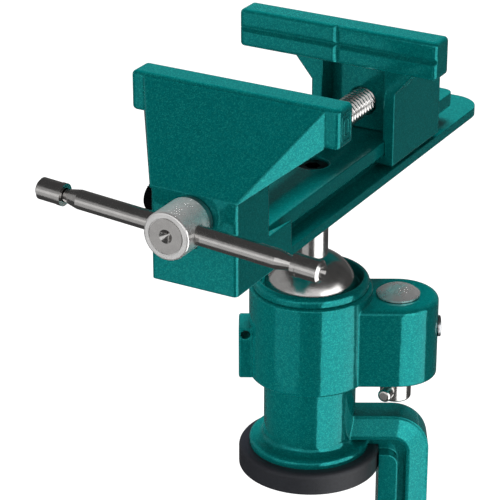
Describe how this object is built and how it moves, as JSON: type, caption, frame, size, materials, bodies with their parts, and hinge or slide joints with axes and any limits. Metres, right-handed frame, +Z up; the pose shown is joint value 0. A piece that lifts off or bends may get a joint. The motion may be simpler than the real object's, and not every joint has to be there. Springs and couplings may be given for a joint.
{
  "type": "ball joint vise",
  "caption": "Small bench vise with screw-driven parallel jaws on a lockable ball joint, carried by a housing with a C-clamp for a bench edge.",
  "frame": {"origin": "centre of the rubber foot's underside, where it stands on the bench", "axes": "+Z up along the post, +X from the post towards the lock boss and the C-arm, +Y away from the viewer"},
  "size_m": [0.151, 0.2039, 0.2916],
  "materials": {
    "painted_casting": "glossy metallic-flake enamel on cast metal",
    "rubber": "matte moulded rubber",
    "black_steel": "black oxide",
    "brass": "machined",
    "chrome": "polished plating",
    "steel": "zinc plated"
  },
  "bodies": {
    "base": {"clamp_frame": "painted_casting", "rubber_foot": "rubber", "socket_ring": "painted_casting", "lock_keeper": "steel"},
    "seat": {"ball_seat": "brass"},
    "ball": {"ball_stud": "chrome"},
    "head": {"vise_bed": "painted_casting", "stem_washer": "steel", "stem_bolt": "black_steel", "screw_keeper": "black_steel"},
    "jaw": {"moving_jaw": "painted_casting", "jaw_nut": "brass"},
    "screw": {"lead_screw": "chrome", "screw_sleeve": "chrome", "thrust_washer": "steel"},
    "jaw_handle": {"jaw_handle_bar": "chrome", "jaw_handle_cap_right": "chrome", "jaw_handle_cap_left": "chrome"},
    "lock": {"lock_shaft": "chrome", "lock_cap": "chrome"},
    "plunger": {"lock_plunger": "steel"},
    "lock_handle": {"lock_bar": "chrome", "lock_bar_cap_near": "chrome", "lock_bar_cap_far": "chrome"},
    "pad": {"clamp_pad": "steel"},
    "clamp": {"clamp_screw": "steel", "pad_retainer": "steel"},
    "clamp_handle": {"clamp_handle_bar": "steel", "clamp_handle_cap_right": "steel", "clamp_handle_cap_left": "steel"}
  },
  "joints": [
    {"name": "ball_pan", "type": "hinge", "parent": "base", "child": "seat", "pos_m": [0, 0, 0.066], "axis": [0, 0, 1], "continuous": true},
    {"name": "ball_tilt", "type": "hinge", "parent": "seat", "child": "ball", "pos_m": [0, 0, 0.066], "axis": [0.8746, -0.4848, 0], "range_deg": [-30, 30]},
    {"name": "head_spin", "type": "hinge", "parent": "ball", "child": "head", "pos_m": [0, 0, 0.1015], "axis": [0, 0, 1], "continuous": true},
    {"name": "screw_turn", "type": "hinge", "parent": "head", "child": "screw", "pos_m": [-0.02652, -0.04784, 0.1255], "axis": [0.4848, 0.8746, 0], "range_deg": [-1350, 10800]},
    {"name": "jaw_travel", "type": "slide", "parent": "head", "child": "jaw", "axis": [0.4848, 0.8746, 0], "range_m": [-0.0601, 0.0076]},
    {"name": "jaw_handle_slide", "type": "slide", "parent": "screw", "child": "jaw_handle", "axis": [0.8727, -0.4838, -0.0654], "range_m": [-0.0325, 0.0325]},
    {"name": "lock_turn", "type": "hinge", "parent": "base", "child": "lock", "pos_m": [0.0304, 0, 0.05], "axis": [0, 0, 1], "range_deg": [-110, 0]},
    {"name": "plunger_travel", "type": "slide", "parent": "base", "child": "plunger", "axis": [1, 0, 0], "range_m": [0, 0.00081]},
    {"name": "lock_bar_slide", "type": "slide", "parent": "lock", "child": "lock_handle", "axis": [0.4384, 0.8988, 0], "range_m": [-0.0175, 0.0017]},
    {"name": "pad_travel", "type": "slide", "parent": "base", "child": "pad", "axis": [0, 0, 1], "range_m": [-0.0275, 0.022]},
    {"name": "clamp_turn", "type": "hinge", "parent": "pad", "child": "clamp", "pos_m": [0, 0, -0.05], "axis": [0, 0, 1], "range_deg": [-5640, 4500]},
    {"name": "clamp_handle_slide", "type": "slide", "parent": "clamp", "child": "clamp_handle", "axis": [0.8192, 0.5736, 0], "range_m": [-0.026, 0.026]}
  ],
  "couplings": [
    {"joint": "jaw_travel", "follows": "screw_turn", "m_per_rad": -0.00031831},
    {"joint": "plunger_travel", "follows": "lock_turn", "m_per_rad": -0.0004167},
    {"joint": "pad_travel", "follows": "clamp_turn", "m_per_rad": 0.00027852}
  ]
}
